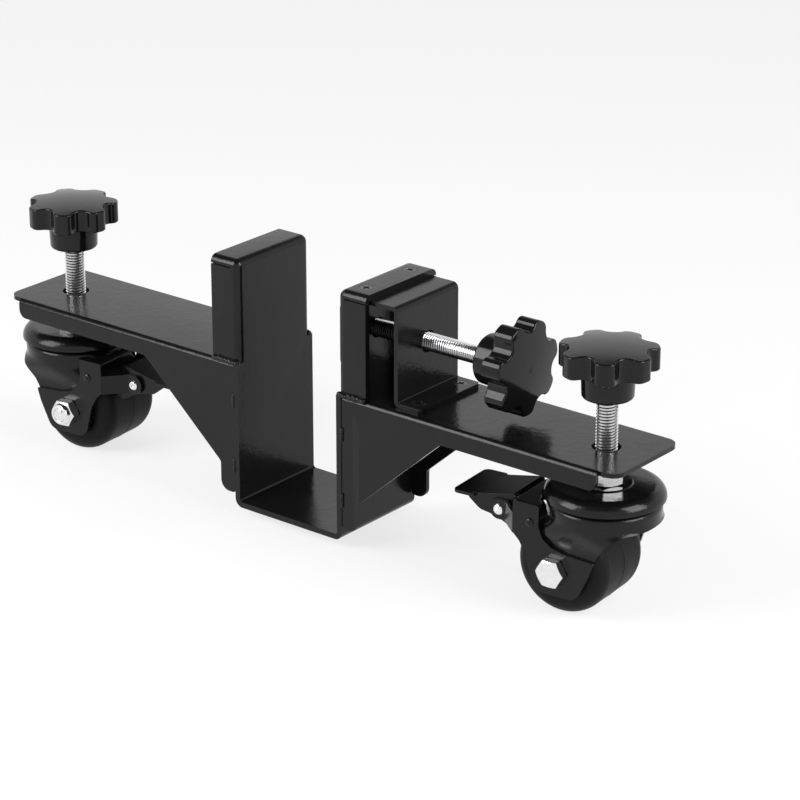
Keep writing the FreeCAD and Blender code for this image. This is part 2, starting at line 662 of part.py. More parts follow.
def axle_nut():
    flats = AXLE_NUT_H * 0.7
    nut = moved(hexagon(AXLE_AF, flats), 0, 0, -PLATE_OUT - flats)
    collar = turned([(0, -PLATE_OUT - AXLE_NUT_H), (7.0, -PLATE_OUT - AXLE_NUT_H),
                     (7.9, -PLATE_OUT - flats + 0.5), (0, -PLATE_OUT - flats + 0.5)], {1: 1.2})
    body = nut.fuse(collar).removeSplitter()
    return on_axle(body.cut(rod(AXLE_D / 2, V(0, 0, -FAR), Z_DIR, FAR)))


def brake_plate():
    """Plate outside a fork leg, bent in towards the pedal, on the +Y side."""
    pairs = [(27.7, 72.4), (46.5, 72.4), (46.5, 51.0), (41.5, 46.0), (37.0, 38.0), (33.6, 25.0), (31.5, 15.0),
             (0.5, 15.0), (-8.4, 34.0), (-11.3, 43.2), (9.0, 44.6), (18.5, 46.8), (25.2, 51.5), (28.0, 59.0)]
    flat = prism("XZ", scaled(pairs), LEG_OUT, PLATE_OUT,
                 {0: 1.5, 1: 1.5, 3: 4.0, 4: 10.0, 6: 9.0, 7: 9.0, 8: 6.0, 9: 1.0, 11: 4.0, 12: 6.0, 13: 4.0})
    low, high = PIVOT_Z - EAR_R, PIVOT_Z + EAR_R
    tip = PIVOT_X + EAR_R
    ear_in = EAR_OUT - PLATE_T
    root, bend, land = 44.0 * CASTER, 46.6 * CASTER, 60.3 * CASTER
    path = [(root, PLATE_OUT), (bend, PLATE_OUT), (land, EAR_OUT), (tip, EAR_OUT), (tip, ear_in),
            (land - 0.8, ear_in), (bend - 0.8, LEG_OUT), (root, LEG_OUT)]
    band = prism("XY", path, low, high, {1: 3.0, 2: 1.0, 5: 3.0, 6: 1.0})
    shape = prism("XZ", [(root - 1, low), (tip, low), (tip, high), (root - 1, high)], 0, FAR,
                  {1: EAR_R - 0.2, 2: EAR_R - 0.2})
    body = flat.fuse(band.common(shape)).removeSplitter()
    body = body.cut(rod(PIN_D / 2, V(PIVOT_X, 0, PIVOT_Z), Y_DIR, FAR))
    body = body.cut(rod(RIVET_R, V(RIVET_X, 0, RIVET_Z), Y_DIR, FAR))
    return body.cut(rod(AXLE_D / 2, V(TRAIL, 0, WHEEL_R), Y_DIR, FAR))


def brake_rivets():
    one = turned([(0, 0), (RIVET_R, 0), (RIVET_R, PLATE_T), (RIVET_R - 0.6, PLATE_T + 0.6), (0, PLATE_T + 0.8)])
    one = moved(along_y(one), RIVET_X, LEG_OUT, RIVET_Z)
    return Part.makeCompound([one, mirrored_y(one)])


def brake_pin():
    r = PIN_D / 2
    head = turned([(0, EAR_OUT), (3.8, EAR_OUT), (3.8, EAR_OUT + 0.9), (0, EAR_OUT + 2.6)], {2: 2.0})
    shank = rod(r, V(0, 0, -EAR_OUT - 0.2), Z_DIR, 2 * EAR_OUT + 0.7)
    flare = turned([(1.4, -EAR_OUT - 1.4), (2.6, -EAR_OUT - 1.4), (3.3, -EAR_OUT - 0.6), (3.3, -EAR_OUT),
                    (1.4, -EAR_OUT)], {1: 0.5})
    body = head.fuse([shank, flare]).removeSplitter()
    return moved(along_y(body), PIVOT_X, 0, PIVOT_Z)


def brake_pedal():
    t = 2.0
    crest, knee, root, tip = scaled([(53.2, 68.9), (80.0, 63.5), (84.0, 62.9), (99.0, 62.6)])
    cheek = [crest, knee] + scaled([(88.4, 62.8), (88.4, 59.0), (80.0, 52.6), (73.0, 51.6), (66.5, 50.2),
                                    (60.0, 47.0), (53.0, 43.2), (50.6, 44.6), (52.0, 49.0), (55.5, 53.5),
                                    (55.5, 58.0)])
    soft = {0: 1.5, 3: 2.0, 4: 8.0, 5: 6.0, 6: 6.0, 7: 4.0, 8: 1.2, 9: 1.0, 10: 3.0, 11: 2.0, 12: 3.0}
    side = prism("XZ", cheek, PEDAL_HALF - t, PEDAL_HALF, soft)
    inset = 0.1
    start = (crest[0] + (knee[0] - crest[0]) * inset, crest[1] + (knee[1] - crest[1]) * inset)
    roof = prism("XZ", [start, knee, root, (root[0], root[1] - t), (knee[0], knee[1] - t), (start[0], start[1] - t)],
                 -PEDAL_HALF + t / 2, PEDAL_HALF - t / 2)
    heel = (root[0] - 1.0, root[1] + 0.15)
    lip = prism("XZ", [heel, root, tip, (tip[0], tip[1] - t), (root[0], root[1] - t), (heel[0], heel[1] - t)],
                -PEDAL_LIP_HALF, PEDAL_LIP_HALF)
    plan = prism("XY", [(heel[0] - 1, -PEDAL_LIP_HALF), (tip[0], -PEDAL_LIP_HALF), (tip[0], PEDAL_LIP_HALF),
                        (heel[0] - 1, PEDAL_LIP_HALF)], 0, FAR, {1: 4.0, 2: 4.0})
    body = roof.fuse([lip.common(plan), side, mirrored_y(side)]).removeSplitter()
    return body.cut(rod(PIN_D / 2 + RUN_FIT, V(PIVOT_X, -FAR, PIVOT_Z), Y_DIR, 2 * FAR))


def brake_shoe():
    half = PEDAL_HALF - 2.0
    (x0, z0), (x1, z1) = scaled([(43.0, 44.0), (55.0, 49.8)])
    block = box(x0, x1, -half, half, z0, z1)
    return block.cut(rod(WHEEL_R + SHOE_GAP, V(TRAIL, -FAR, WHEEL_R), Y_DIR, 2 * FAR))


def place(shape, x, turn):
    out = spun(shape, turn)
    out.translate(V(x, 0, 0))
    return out


def export(name, shape):
    if shape.ShapeType == "Compound" and len(shape.Solids) == 1:
        shape = shape.Solids[0]
    if not shape.isValid():
        raise ValueError(name + " is not a valid shape")
    shape.exportStep("parts/" + name + ".step")
    print(name, shape.ShapeType, len(shape.Solids), round(shape.Volume, 1))


def build_frame():
    export("saddle", saddle())
    export("left_arm", mirrored_x(arm(False)))
    export("right_arm", right_arm())
    nut = lift_nut()
    export("left_lift_nut", mirrored_x(nut))
    export("right_lift_nut", nut)
    export("clamp_bracket", clamp_bracket())
    export("clamp_nut", clamp_nut())
    export("bracket_top_screws", screw_pair(TOP_SCREW_X, SADDLE_TOP, 10.0))
    export("bracket_foot_screws", screw_pair(FOOT_SCREW_X, ARM_TOP + BRACKET_SHEET, 9.0))


def build_clamp():
    export("clamp_screw", clamp_screw())
    export("clamp_knob", clamp_knob_place(knob(CLAMP_D)))
    export("clamp_set_screw", clamp_knob_place(knob_set_screw()))
    export("screw_retainer", screw_retainer())
    export("pressure_plate", pressure_plate())
    export("pressure_pad", pressure_pad())


def build_casters():
    away = LIFT_KNOB_TURN + 3 * 360 / KNOB_LOBES
    star = moved(spun(knob(LIFT_D), away), 0, 0, LIFT_HUB_Z)
    grub = moved(spun(knob_set_screw(), away), 0, 0, LIFT_HUB_Z)
    near_plate = brake_plate()
    upright = {"lift_screw": lift_screw(), "lift_knob": star, "knob_set_screw": grub, "stem_nut": stem_nut(),
               "swivel_cap": swivel_cap(), "ball_cage": ball_cage()}
    swivel = {"fork": fork(), "axle_bolt": axle_bolt(), "axle_nut": axle_nut(), "axle_sleeve": axle_sleeve(),
              "wheel": wheel(), "wheel_bushes": wheel_bushes(), "brake_plate_head": near_plate,
              "brake_plate_nut": mirrored_y(near_plate), "brake_rivets": brake_rivets(),
              "brake_pin": brake_pin(), "brake_pedal": brake_pedal(), "brake_shoe": brake_shoe()}
    for side, x, turn in (("left", -STEM_X, LEFT_TURN), ("right", STEM_X, RIGHT_TURN)):
        for name, shape in upright.items():
            export(side + "_" + name, moved(shape, x, 0, 0))
        for name, shape in swivel.items():
            export(side + "_" + name, place(shape, x, turn))


build_frame()
build_clamp()
build_casters()
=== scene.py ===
import json
import math

import bmesh
import bpy
from bpy.props import FloatProperty, FloatVectorProperty, IntProperty, PointerProperty
from bpy.types import Operator, Panel, PropertyGroup
from mathutils import Matrix, Vector


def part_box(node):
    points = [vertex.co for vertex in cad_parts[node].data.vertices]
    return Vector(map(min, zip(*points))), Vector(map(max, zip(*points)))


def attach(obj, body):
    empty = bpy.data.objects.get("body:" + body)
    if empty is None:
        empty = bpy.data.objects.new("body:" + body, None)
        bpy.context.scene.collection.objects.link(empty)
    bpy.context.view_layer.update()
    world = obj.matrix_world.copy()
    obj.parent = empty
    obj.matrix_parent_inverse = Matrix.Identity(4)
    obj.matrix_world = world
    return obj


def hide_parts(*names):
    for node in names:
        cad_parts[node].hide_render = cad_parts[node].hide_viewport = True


bl_info = {
    "name": "Door dolly",
    "version": (1, 0, 0),
    "blender": (4, 5, 0),
    "location": "View3D > Sidebar > Dolly",
    "description": "Finishes, threads, screws, welds and brake trim of a door dolly on its frame",
    "category": "Object",
}

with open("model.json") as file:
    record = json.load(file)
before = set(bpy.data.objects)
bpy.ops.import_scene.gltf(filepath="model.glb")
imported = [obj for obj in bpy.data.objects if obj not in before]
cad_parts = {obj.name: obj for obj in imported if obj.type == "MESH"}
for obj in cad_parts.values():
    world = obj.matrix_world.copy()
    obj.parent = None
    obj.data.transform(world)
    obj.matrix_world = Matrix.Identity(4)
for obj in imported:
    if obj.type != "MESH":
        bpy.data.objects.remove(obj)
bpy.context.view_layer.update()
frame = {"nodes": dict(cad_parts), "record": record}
SIDES = ("left", "right")
MERGE = 1e-6             # points closer than this are one


# --- Settings

def colour_property(label, note, default):
    return FloatVectorProperty(name=label, description=note, default=default, subtype="COLOR",
                               size=3, min=0.0, max=1.0)


def length_property(label, note, default):
    return FloatProperty(name=label, description=note, default=default, subtype="DISTANCE",
                         unit="LENGTH", precision=5)


def share_property(label, note, default):
    return FloatProperty(name=label, description=note, default=default, min=0.0, max=1.0)


class DollyFinish(PropertyGroup):
    powder: colour_property("Powder coat", "Colour of the coated steel", (0.004, 0.004, 0.0042))
    knob: colour_property("Knob plastic", "Colour of the star knobs", (0.0045, 0.0045, 0.0048))
    zinc: colour_property("Zinc plate", "Colour of the plated screws and nuts", (0.8, 0.8, 0.81))
    nylon: colour_property("Wheel nylon", "Colour of the wheels", (0.006, 0.006, 0.0063))
    rubber: colour_property("Rubber", "Colour of the pad and the brake shoes", (0.02, 0.02, 0.02))
    bronze: colour_property("Bush bronze", "Colour of the wheel bushes", (0.48, 0.33, 0.16))
    # painted shade: share of the zinc colour left in the thread's grooves
    groove: share_property("Thread grooves", "Brightness of the grooves beside the crests", 0.12)
    peel: share_property("Orange peel", "Strength of the ripple in the powder coat", 0.16)


class DollyScrews(PropertyGroup):
    lift_size: length_property("Lift screw", "Outer diameter of the lift screws", 0.014)
    lift_pitch: length_property("Lift pitch", "Travel of a lift screw in one turn", 0.002)
    pin_size: length_property("King pin", "Diameter of the pin under a lift screw", 0.012)
    pin_length: length_property("King pin length", "Pin from its head to the thread", 0.0089)
    pin_head: length_property("Pin head", "Thickness of the riveted head", 0.0014)
    clamp_size: length_property("Clamp screw", "Outer diameter of the clamp screw", 0.012)
    clamp_pitch: length_property("Clamp pitch", "Travel of the clamp screw in one turn", 0.00175)
    clamp_journal: length_property("Clamp journal", "Diameter of the end that turns in the plate",
                                   0.008)
    crest_drop: length_property("Crest clearance", "Thread crests below the nominal size", 0.00004)
    depth: FloatProperty(name="Thread depth", description="Depth of a thread in pitches",
                         default=0.6134)
    sides: IntProperty(name="Thread sides", description="Facets round a thread", default=44, min=12)
    seed: IntProperty(name="Screw seed", description="Chance turn of the cross recesses", default=7)


class DollyTrim(PropertyGroup):
    edge: length_property("Edge softness", "Width of the bevel on sheet edges", 0.0006)
    bead: length_property("Weld bead", "Radius of the weld bead at the uprights", 0.0024)
    tack: length_property("Tack weld", "Radius of the smaller welds", 0.0014)
    strip_inset: length_property("Strip inset", "Upright's side inside the arm's side", 0.0015)
    tack_height: length_property("Tack height", "Height of the tacks beside the saddle", 0.035)
    weld_seed: IntProperty(name="Weld seed", description="Chance shape of the weld ripples",
                           default=11)
    mould_line: length_property("Mould line", "Height of the seam round each wheel", 0.0002)
    web_start: length_property("Web start", "Brake web's near edge from the swivel axis", 0.0277)
    web_end: length_property("Web end", "Brake web's far edge from the swivel axis", 0.0465)
    web_bore: length_property("Web bore", "Radius cut out of the web round the axis", 0.0403)
    web_half: length_property("Web half width", "Half of the space between the plates", 0.03085)
    web_sheet: length_property("Web sheet", "Thickness of the brake web", 0.002)
    head_width: length_property("Rivet head", "Diameter of the domed rivet heads", 0.0062)
    head_height: length_property("Rivet dome", "Height of the domed rivet heads", 0.0016)


class DollyStage(PropertyGroup):
    azimuth: FloatProperty(name="Azimuth", description="Camera's turn to the right of the front",
                           default=0.675775, subtype="ANGLE")
    elevation: FloatProperty(name="Elevation", description="Camera's height angle",
                             default=0.379972, subtype="ANGLE")
    distance: length_property("Distance", "Camera to the point it looks at", 1.956431)
    target: FloatVectorProperty(name="Target", description="Point that the camera looks at",
                                default=(0.0640418, 0.0, 0.0975956), size=3, subtype="TRANSLATION")
    lens: FloatProperty(name="Lens", description="Focal length in millimetres", default=136.6533)
    floor: colour_property("Floor", "Colour of the floor", (0.9, 0.9, 0.9))
    floor_white: share_property("Floor white", "Share of plain white seen on the floor", 0.74)
    overhead: FloatProperty(name="Overhead", description="Strength of the world above the boxes",
                            default=0.12)
    box_power: FloatProperty(name="Soft box power", description="Watts of each soft box",
                             default=25.0)
    box_width: length_property("Soft box width", "Width of each soft box", 0.95)
    box_height: length_property("Soft box height", "Height of each soft box", 1.2)


# --- Finishes

def shader_material(name, colour, roughness, metallic=0.0, ior=1.5):
    """New material with a plain shader; returns it with its tree and its shader."""
    material = bpy.data.materials.new(name)
    material.use_nodes = True
    shader = material.node_tree.nodes["Principled BSDF"]
    shader.inputs["Base Color"].default_value = (*colour, 1.0)
    shader.inputs["Roughness"].default_value = roughness
    shader.inputs["Metallic"].default_value = metallic
    shader.inputs["IOR"].default_value = ior
    return material, material.node_tree, shader


def object_noise(tree, scale, detail=2.0, turn=0.0, stretch=(1.0, 1.0, 1.0)):
    """Noise on the piece's own coordinates."""
    place = tree.nodes.new("ShaderNodeTexCoord")
    mapping = tree.nodes.new("ShaderNodeMapping")
    mapping.inputs["Rotation"].default_value = (0.0, 0.0, turn)
    mapping.inputs["Scale"].default_value = stretch
    noise = tree.nodes.new("ShaderNodeTexNoise")
    noise.inputs["Scale"].default_value = scale
    noise.inputs["Detail"].default_value = detail
    tree.links.new(place.outputs["Object"], mapping.inputs["Vector"])
    tree.links.new(mapping.outputs["Vector"], noise.inputs["Vector"])
    return noise.outputs["Fac"]


def mesh_value(tree, name):
    """Value that the mesh carries under a name."""
    node = tree.nodes.new("ShaderNodeAttribute")
    node.attribute_name = name
    return node.outputs["Fac"]


def spread(tree, value, low, high, start=0.3, end=0.7):
    """Map start to end, which is most of a noise's range, onto low to high."""
    node = tree.nodes.new("ShaderNodeMapRange")
    node.inputs["From Min"].default_value = start
    node.inputs["From Max"].default_value = end
    node.inputs["To Min"].default_value = low
    node.inputs["To Max"].default_value = high
    tree.links.new(value, node.inputs["Value"])
    return node.outputs["Result"]


def tint(tree, shader, value, dark, light):
    """Mottle the base colour between two shades."""
    ramp = tree.nodes.new("ShaderNodeValToRGB")
    for element, position, shade in zip(ramp.color_ramp.elements, (0.3, 0.7), (dark, light)):
        element.position = position
        element.color = (*shade, 1.0)
    tree.links.new(value, ramp.inputs["Fac"])
    tree.links.new(ramp.outputs["Color"], shader.inputs["Base Color"])


def relief(tree, shader, *layers):
    """Stack bumps, each given as height, strength and depth in metres."""
    normal = None
    for height, strength, depth in layers:
        bump = tree.nodes.new("ShaderNodeBump")
        bump.inputs["Strength"].default_value = strength
        bump.inputs["Distance"].default_value = depth
        tree.links.new(height, bump.inputs["Height"])
        if normal is not None:
            tree.links.new(normal, bump.inputs["Normal"])
        normal = bump.outputs["Normal"]
    tree.links.new(normal, shader.inputs["Normal"])


def shades(colour, low, high):
    """A darker and a lighter shade of a colour."""
    return tuple(c * low for c in colour), tuple(min(c * high, 1.0) for c in colour)


def powder_coat(finish):
    """Glossy powder coat with orange peel."""
    colour = tuple(finish.powder)
    material, tree, shader = shader_material("powder_coat", colour, roughness=0.18, ior=1.34)
    cloud = object_noise(tree, scale=38.0, detail=3.0)
    tint(tree, shader, cloud, *shades(colour, low=0.82, high=1.2))
    tree.links.new(spread(tree, cloud, low=0.14, high=0.22), shader.inputs["Roughness"])
    fine = object_noise(tree, scale=640.0, detail=2.0)
    broad = object_noise(tree, scale=170.0, detail=1.0)
    relief(tree, shader, (fine, finish.peel, 0.0006), (broad, finish.peel * 0.6, 0.001))
    return material


def tread_coat(finish):
    """Powder coat that shoes have rubbed dull on the faces that look up."""
    colour = tuple(finish.powder)
    material, tree, shader = shader_material("tread_coat", colour, roughness=0.18, ior=1.34)
    cloud = object_noise(tree, scale=38.0, detail=3.0)
    tint(tree, shader, cloud, *shades(colour, low=0.82, high=1.2))
    worn = mesh_value(tree, "tread")
    for socket, glossy, dull in (("Roughness", 0.18, 0.5), ("Specular IOR Level", 0.5, 0.1)):
        tree.links.new(spread(tree, worn, glossy, dull, start=0.0, end=1.0), shader.inputs[socket])
    relief(tree, shader, (object_noise(tree, scale=640.0, detail=2.0), finish.peel, 0.0006))
    return material


def knob_plastic(finish):
    """Moulded plastic with faint flow marks."""
    colour = tuple(finish.knob)
    material, tree, shader = shader_material("knob_plastic", colour, roughness=0.1, ior=1.34)
    flow = object_noise(tree, scale=60.0, detail=2.0)
    tint(tree, shader, flow, *shades(colour, low=0.85, high=1.15))
    tree.links.new(spread(tree, flow, low=0.07, high=0.13), shader.inputs["Roughness"])
    relief(tree, shader, (object_noise(tree, scale=110.0, detail=1.0), 0.05, 0.001))
    return material


def zinc_plate(finish):
    """Bright zinc plate with a fine grain."""
    colour = tuple(finish.zinc)
    material, tree, shader = shader_material("zinc_plate", colour, roughness=0.22, metallic=1.0)
    grain = object_noise(tree, scale=420.0, detail=4.0)
    tint(tree, shader, grain, *shades(colour, low=0.95, high=1.04))
    tree.links.new(spread(tree, grain, low=0.14, high=0.22), shader.inputs["Roughness"])
    relief(tree, shader, (grain, 0.03, 0.0002))
    return material


def thread_zinc(finish):
    """Plated thread, rougher in its grooves, with painted shade that darkens the grooves towards
    their roots.
    """
    colour = tuple(finish.zinc)
    material, tree, shader = shader_material("zinc_thread_painted_shade", colour, roughness=0.2, metallic=1.0)
    groove = mesh_value(tree, "groove")
    # painted shade: the zinc colour is darkened from the crests down into the roots of the grooves
    root = spread(tree, groove, low=0.0, high=1.0, start=0.2, end=1.1)
    tint(tree, shader, root, colour, tuple(c * finish.groove for c in colour))
    tree.links.new(spread(tree, groove, low=0.16, high=0.4), shader.inputs["Roughness"])
    relief(tree, shader, (object_noise(tree, scale=420.0, detail=4.0), 0.03, 0.0002))
    return material


def wheel_nylon(finish):
    """Turned nylon, dull, with fine rings across the tread."""
    colour = tuple(finish.nylon)
    material, tree, shader = shader_material("wheel_nylon", colour, roughness=0.46, ior=1.2)
    rings = object_noise(tree, scale=26.0, detail=2.0, turn=math.radians(-5.0),
                         stretch=(0.4, 60.0, 0.4))
    grain = object_noise(tree, scale=1500.0, detail=2.0)
    cloud = object_noise(tree, scale=55.0, detail=4.0)
    tint(tree, shader, cloud, *shades(colour, low=0.75, high=1.35))
    tree.links.new(spread(tree, rings, low=0.4, high=0.54), shader.inputs["Roughness"])
    relief(tree, shader, (grain, 0.12, 0.0003), (rings, 0.1, 0.0002))
    return material


def soft_rubber(finish):
    """Dull rubber with a rough grain."""
    colour = tuple(finish.rubber)
    material, tree, shader = shader_material("soft_rubber", colour, roughness=0.75)
    grain = object_noise(tree, scale=900.0, detail=3.0)
    tint(tree, shader, grain, *shades(colour, low=0.7, high=1.4))
    tree.links.new(spread(tree, grain, low=0.66, high=0.84), shader.inputs["Roughness"])
    relief(tree, shader, (grain, 0.25, 0.0004))
    return material


def bush_bronze(finish):
    """Sintered bronze."""
    colour = tuple(finish.bronze)
    material, tree, shader = shader_material("bush_bronze", colour, roughness=0.34, metallic=1.0)
    grain = object_noise(tree, scale=500.0, detail=3.0)
    tint(tree, shader, grain, *shades(colour, low=0.85, high=1.1))
    tree.links.new(spread(tree, grain, low=0.28, high=0.42), shader.inputs["Roughness"])
    relief(tree, shader, (grain, 0.1, 0.0002))
    return material


def black_screw(finish):
    """Blackened steel of the countersunk screws."""
    colour = tuple(finish.powder)
    material, tree, shader = shader_material("black_screw", colour, roughness=0.24, ior=1.6)
    grain = object_noise(tree, scale=900.0, detail=3.0)
    tint(tree, shader, grain, *shades(colour, low=0.8, high=1.6))
    tree.links.new(spread(tree, grain, low=0.18, high=0.32), shader.inputs["Roughness"])
    relief(tree, shader, (grain, 0.12, 0.0002))
    return material


FINISHES = {"black_paint": powder_coat, "knob_plastic": knob_plastic, "zinc": zinc_plate,
            "wheel_nylon": wheel_nylon, "black_rubber": soft_rubber, "bush_bronze": bush_bronze,
            "tread": tread_coat, "thread": thread_zinc, "screw": black_screw}
made = {}


def finish_for(name):
    """The material of a slot, or of the treads, threads or screws, made once."""
    if name not in made:
        made[name] = FINISHES[name](bpy.context.scene.dolly_finish)
    return made[name]


class DOLLY_OT_coat_solids(Operator):
    """Give every solid of the frame the finish of its slot"""
    bl_idname = "dolly.coat_solids"
    bl_label = "Coat the solids"

    def execute(self, context):
        for row in frame["record"]["subparts"]:
            mesh = frame["nodes"][row["node"]].data
            mesh.materials.clear()
            mesh.materials.append(finish_for(row["material_slot"]))
        return {"FINISHED"}


# --- Pieces and the frame

def keep(piece, body, slot, *nodes):
    """Put a finished piece on its body, in place of its solids."""
    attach(piece, body)
    if nodes:
        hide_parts(*nodes)
    return piece


def new_object(name, mesh):
    piece = bpy.data.objects.new(name, mesh)
    bpy.context.scene.collection.objects.link(piece)
    return piece


def mesh_from(work, name):
    """Turn a finished bmesh into a mesh."""
    mesh = bpy.data.meshes.new(name)
    work.to_mesh(mesh)
    work.free()
    return mesh


def plain_mesh(helper, name):
    """Turn an object with its modifiers into an object with a plain mesh."""
    graph = bpy.context.evaluated_depsgraph_get()
    mesh = bpy.data.meshes.new_from_object(helper.evaluated_get(graph), depsgraph=graph,
                                           preserve_all_data_layers=True)
    bpy.data.objects.remove(helper)
    mesh.name = name
    if not mesh.polygons:
        raise RuntimeError(name + " came out empty")
    return new_object(name, mesh)


def middle_of(node):
    low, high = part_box(node)
    return (low + high) / 2


def body_of(node):
    for body, nodes in frame["record"]["behaviour"]["bodies"].items():
        if node in nodes:
            return body
    raise RuntimeError(node + " is on no body")


def slot_of(node):
    for row in frame["record"]["subparts"]:
        if row["node"] == node:
            return row["material_slot"]
    raise RuntimeError(node + " has no slot")


# --- Sheet metal

THICK_SHEETS = ("saddle", "left_arm", "right_arm", "clamp_bracket")
BRAKE_SHEETS = ("brake_plate_head", "brake_plate_nut", "brake_pedal")
THICK_EDGE = 1.6                       # bevel of the thick sheets, in edge widths
FLAT_ANGLE = math.radians(0.3)         # faces within this are one flat face
CREASE_ANGLE = math.radians(35.0)      # edges sharper than this shade sharp
BEVEL_ANGLE = math.radians(40.0)       # edges sharper than this are bevelled
LOOKS_UP = 0.8                         # least upward share of a trodden face's normal


def bevel_edges(helper, width, harden=False):
    bevel = helper.modifiers.new("Edge", "BEVEL")
    bevel.width = width
    bevel.segments = 2
    bevel.limit_method = "ANGLE"
    bevel.angle_limit = BEVEL_ANGLE
    bevel.harden_normals = harden


def rub(piece):
    """Mark the faces of a piece that look up, and give it the tread's finish."""
    worn = piece.data.attributes.new("tread", "FLOAT", "FACE")
    for face in piece.data.polygons:
        worn.data[face.index].value = 1.0 if face.normal.z > LOOKS_UP else 0.0
    piece.data.materials.clear()
    piece.data.materials.append(finish_for("tread"))


class DOLLY_OT_soften_edges(Operator):
    """Break the sharp edges of the sheet metal, as its coat does"""
    bl_idname = "dolly.soften_edges"
    bl_label = "Soften the sheet edges"

    def execute(self, context):
        edge = context.scene.dolly_trim.edge
        brakes = [f"{side}_{sheet}" for side in SIDES for sheet in BRAKE_SHEETS]
        for node in (*THICK_SHEETS, "pressure_plate", *brakes):
            mesh = frame["nodes"][node].data.copy()
            if "custom_normal" in mesh.attributes:
                mesh.attributes.remove(mesh.attributes["custom_normal"])
            work = bmesh.new()
            work.from_mesh(mesh)
            bmesh.ops.remove_doubles(work, verts=work.verts, dist=MERGE)
            bmesh.ops.dissolve_limit(work, angle_limit=FLAT_ANGLE, verts=work.verts,
                                     edges=work.edges)
            for face in work.faces:
                face.smooth = True
            work.to_mesh(mesh)
            work.free()
            mesh.set_sharp_from_angle(angle=CREASE_ANGLE)
            helper = new_object(node + "_sheet", mesh)
            bevel_edges(helper, edge * (THICK_EDGE if node in THICK_SHEETS else 1.0), harden=True)
            piece = plain_mesh(helper, node + "_coated")
            keep(piece, body_of(node), slot_of(node), node)
            if node.endswith("brake_pedal"):
                rub(piece)
        return {"FINISHED"}


# --- Geometry trees

def new_tree(name, inputs):
    """Tree with named inputs: the tree, its inputs, its output and the inputs' identifiers."""
    tree = bpy.data.node_groups.new(name, "GeometryNodeTree")
    face = tree.interface
    face.new_socket("Geometry", in_out="OUTPUT", socket_type="NodeSocketGeometry")
    ids = {}
    for label, kind in inputs.items():
        socket = face.new_socket(label, in_out="INPUT", socket_type="NodeSocket" + kind)
        ids[label] = socket.identifier
    given = tree.nodes.new("NodeGroupInput").outputs
    return tree, given, tree.nodes.new("NodeGroupOutput").inputs[0], ids


def feed(tree, value, socket):
    """Link a socket to the value if that is a socket too, or else set it."""
    if isinstance(value, bpy.types.NodeSocket):
        tree.links.new(value, socket)
    else:
        socket.default_value = value


def add_node(tree, kind, inputs=None, **options):
    """New node with its options set and its inputs fed by name or place; returns its outputs."""
    node = tree.nodes.new(kind)
    for key, value in options.items():
        setattr(node, key, value)
    for label, value in (inputs or {}).items():
        feed(tree, value, node.inputs[label])
    return node.outputs


def calc(tree, operation, *values, clamp=False):
    inputs = dict(enumerate(values))
    return add_node(tree, "ShaderNodeMath", inputs, operation=operation, use_clamp=clamp)[0]


def end_tree(tree, shape, material, output):
    real = add_node(tree, "GeometryNodeRealizeInstances", {"Geometry": shape})[0]
    coated = add_node(tree, "GeometryNodeSetMaterial", {"Geometry": real, "Material": material})[0]
    tree.links.new(coated, output)


def run_tree(name, tree, ids, mesh, **values):
    """Run a tree on a mesh with its inputs set, and keep the plain result."""
    helper = new_object(name + "_helper", mesh)
    modifier = helper.modifiers.new(tree.name, "NODES")
    modifier.node_group = tree
    for label, value in values.items():
        modifier[ids[label]] = value
    return plain_mesh(helper, name)


# --- Threads

THREAD_ROWS = 8          # rows of points in one pitch
THREAD_FLAT = 0.125      # half of the root's flat, in half pitches
THREAD_FLANK = 0.75      # width of a flank, in half pitches
THREAD_CREASE = 0.5      # edges sharper than this many radians shade sharp
SPARE_TURNS = 2          # turns that run out past the ends and are cut off
PIN_CHAMFER = 0.0003
JOURNAL_CHAMFER = 0.0005
JOURNAL_PLAY = 0.0001    # clamp screw's shoulder to the pressure plate
trees = {}


